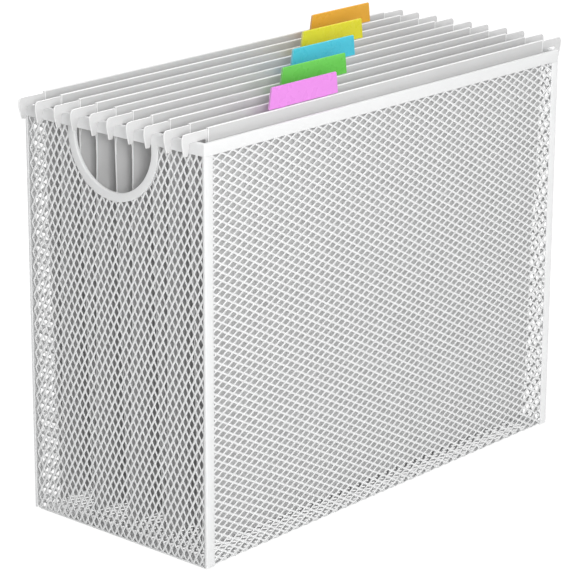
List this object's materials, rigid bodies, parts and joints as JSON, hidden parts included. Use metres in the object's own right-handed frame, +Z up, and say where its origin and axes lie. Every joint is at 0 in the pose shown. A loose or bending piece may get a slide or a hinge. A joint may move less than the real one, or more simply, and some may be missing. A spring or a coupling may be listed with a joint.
{
  "type": "hanging file box",
  "caption": "Mesh hanging file box with folded rim, corner strips and hand holes, carrying hanging folders on hooked rails with staggered coloured tabs.",
  "frame": {"origin": "middle of the floor's underside", "axes": "+Z up, +X along the long face towards its right end as seen from the front, +Y from the front face to the back"},
  "size_m": [0.3414, 0.14, 0.2663],
  "materials": {
    "wire_mesh": "white powder coat on expanded steel mesh",
    "coated_sheet": "smooth white powder coat on folded sheet steel",
    "folder_board": "light grey smooth folder board",
    "rail_steel": "off-white coated steel strip",
    "label_card": "blank white card",
    "tab_1": "clear tinted plastic, glossy",
    "tab_2": "clear tinted plastic, glossy",
    "tab_3": "clear tinted plastic, glossy",
    "tab_4": "clear tinted plastic, glossy",
    "tab_5": "clear tinted plastic, glossy"
  },
  "bodies": {
    "box": {"mesh_front": "wire_mesh", "mesh_back": "wire_mesh", "mesh_left": "wire_mesh", "mesh_right": "wire_mesh", "mesh_floor": "wire_mesh", "floor_fold": "wire_mesh", "rim": "coated_sheet", "corner_strip_front_left": "coated_sheet", "corner_strip_front_right": "coated_sheet", "corner_strip_back_left": "coated_sheet", "corner_strip_back_right": "coated_sheet", "hand_ring_left": "coated_sheet", "hand_ring_right": "coated_sheet"},
    "folder_1": {"folder_1_crease": "folder_board"},
    "folder_1_front": {"folder_1_front_leaf": "folder_board", "folder_1_front_rail": "rail_steel", "folder_1_tab": "tab_1", "folder_1_label": "label_card"},
    "folder_1_back": {"folder_1_back_leaf": "folder_board", "folder_1_back_rail": "rail_steel"},
    "folder_2": {"folder_2_crease": "folder_board"},
    "folder_2_front": {"folder_2_front_leaf": "folder_board", "folder_2_front_rail": "rail_steel", "folder_2_tab": "tab_2", "folder_2_label": "label_card"},
    "folder_2_back": {"folder_2_back_leaf": "folder_board", "folder_2_back_rail": "rail_steel"},
    "folder_3": {"folder_3_crease": "folder_board"},
    "folder_3_front": {"folder_3_front_leaf": "folder_board", "folder_3_front_rail": "rail_steel", "folder_3_tab": "tab_3", "folder_3_label": "label_card"},
    "folder_3_back": {"folder_3_back_leaf": "folder_board", "folder_3_back_rail": "rail_steel"},
    "folder_4": {"folder_4_crease": "folder_board"},
    "folder_4_front": {"folder_4_front_leaf": "folder_board", "folder_4_front_rail": "rail_steel", "folder_4_tab": "tab_4", "folder_4_label": "label_card"},
    "folder_4_back": {"folder_4_back_leaf": "folder_board", "folder_4_back_rail": "rail_steel"},
    "folder_5": {"folder_5_crease": "folder_board"},
    "folder_5_front": {"folder_5_front_leaf": "folder_board", "folder_5_front_rail": "rail_steel", "folder_5_tab": "tab_5", "folder_5_label": "label_card"},
    "folder_5_back": {"folder_5_back_leaf": "folder_board", "folder_5_back_rail": "rail_steel"}
  },
  "joints": [
    {"name": "folder_1_lift", "type": "slide", "parent": "box", "child": "folder_1", "axis": [0, 0, 1], "range_m": [0, 0.26]},
    {"name": "folder_1_front_rail_swing", "type": "hinge", "parent": "folder_1", "child": "folder_1_front", "pos_m": [0, -0.0566, 0.0077], "axis": [1, 0, 0], "range_deg": [-1.2, 0.7]},
    {"name": "folder_1_back_rail_swing", "type": "hinge", "parent": "folder_1", "child": "folder_1_back", "pos_m": [0, -0.0566, 0.0077], "axis": [-1, 0, 0], "range_deg": [-1.2, 1.4]},
    {"name": "folder_2_lift", "type": "slide", "parent": "box", "child": "folder_2", "axis": [0, 0, 1], "range_m": [0, 0.26]},
    {"name": "folder_2_front_rail_swing", "type": "hinge", "parent": "folder_2", "child": "folder_2_front", "pos_m": [0, -0.0283, 0.0077], "axis": [1, 0, 0], "range_deg": [-1.2, 1.4]},
    {"name": "folder_2_back_rail_swing", "type": "hinge", "parent": "folder_2", "child": "folder_2_back", "pos_m": [0, -0.0283, 0.0077], "axis": [-1, 0, 0], "range_deg": [-1.2, 1.4]},
    {"name": "folder_3_lift", "type": "slide", "parent": "box", "child": "folder_3", "axis": [0, 0, 1], "range_m": [0, 0.26]},
    {"name": "folder_3_front_rail_swing", "type": "hinge", "parent": "folder_3", "child": "folder_3_front", "pos_m": [0, 0, 0.0077], "axis": [1, 0, 0], "range_deg": [-1.2, 1.4]},
    {"name": "folder_3_back_rail_swing", "type": "hinge", "parent": "folder_3", "child": "folder_3_back", "pos_m": [0, 0, 0.0077], "axis": [-1, 0, 0], "range_deg": [-1.2, 1.4]},
    {"name": "folder_4_lift", "type": "slide", "parent": "box", "child": "folder_4", "axis": [0, 0, 1], "range_m": [0, 0.26]},
    {"name": "folder_4_front_rail_swing", "type": "hinge", "parent": "folder_4", "child": "folder_4_front", "pos_m": [0, 0.0283, 0.0077], "axis": [1, 0, 0], "range_deg": [-1.2, 1.4]},
    {"name": "folder_4_back_rail_swing", "type": "hinge", "parent": "folder_4", "child": "folder_4_back", "pos_m": [0, 0.0283, 0.0077], "axis": [-1, 0, 0], "range_deg": [-1.2, 1.4]},
    {"name": "folder_5_lift", "type": "slide", "parent": "box", "child": "folder_5", "axis": [0, 0, 1], "range_m": [0, 0.26]},
    {"name": "folder_5_front_rail_swing", "type": "hinge", "parent": "folder_5", "child": "folder_5_front", "pos_m": [0, 0.0566, 0.0077], "axis": [1, 0, 0], "range_deg": [-1.2, 1.4]},
    {"name": "folder_5_back_rail_swing", "type": "hinge", "parent": "folder_5", "child": "folder_5_back", "pos_m": [0, 0.0566, 0.0077], "axis": [-1, 0, 0], "range_deg": [-1.2, 0.7]}
  ]
}
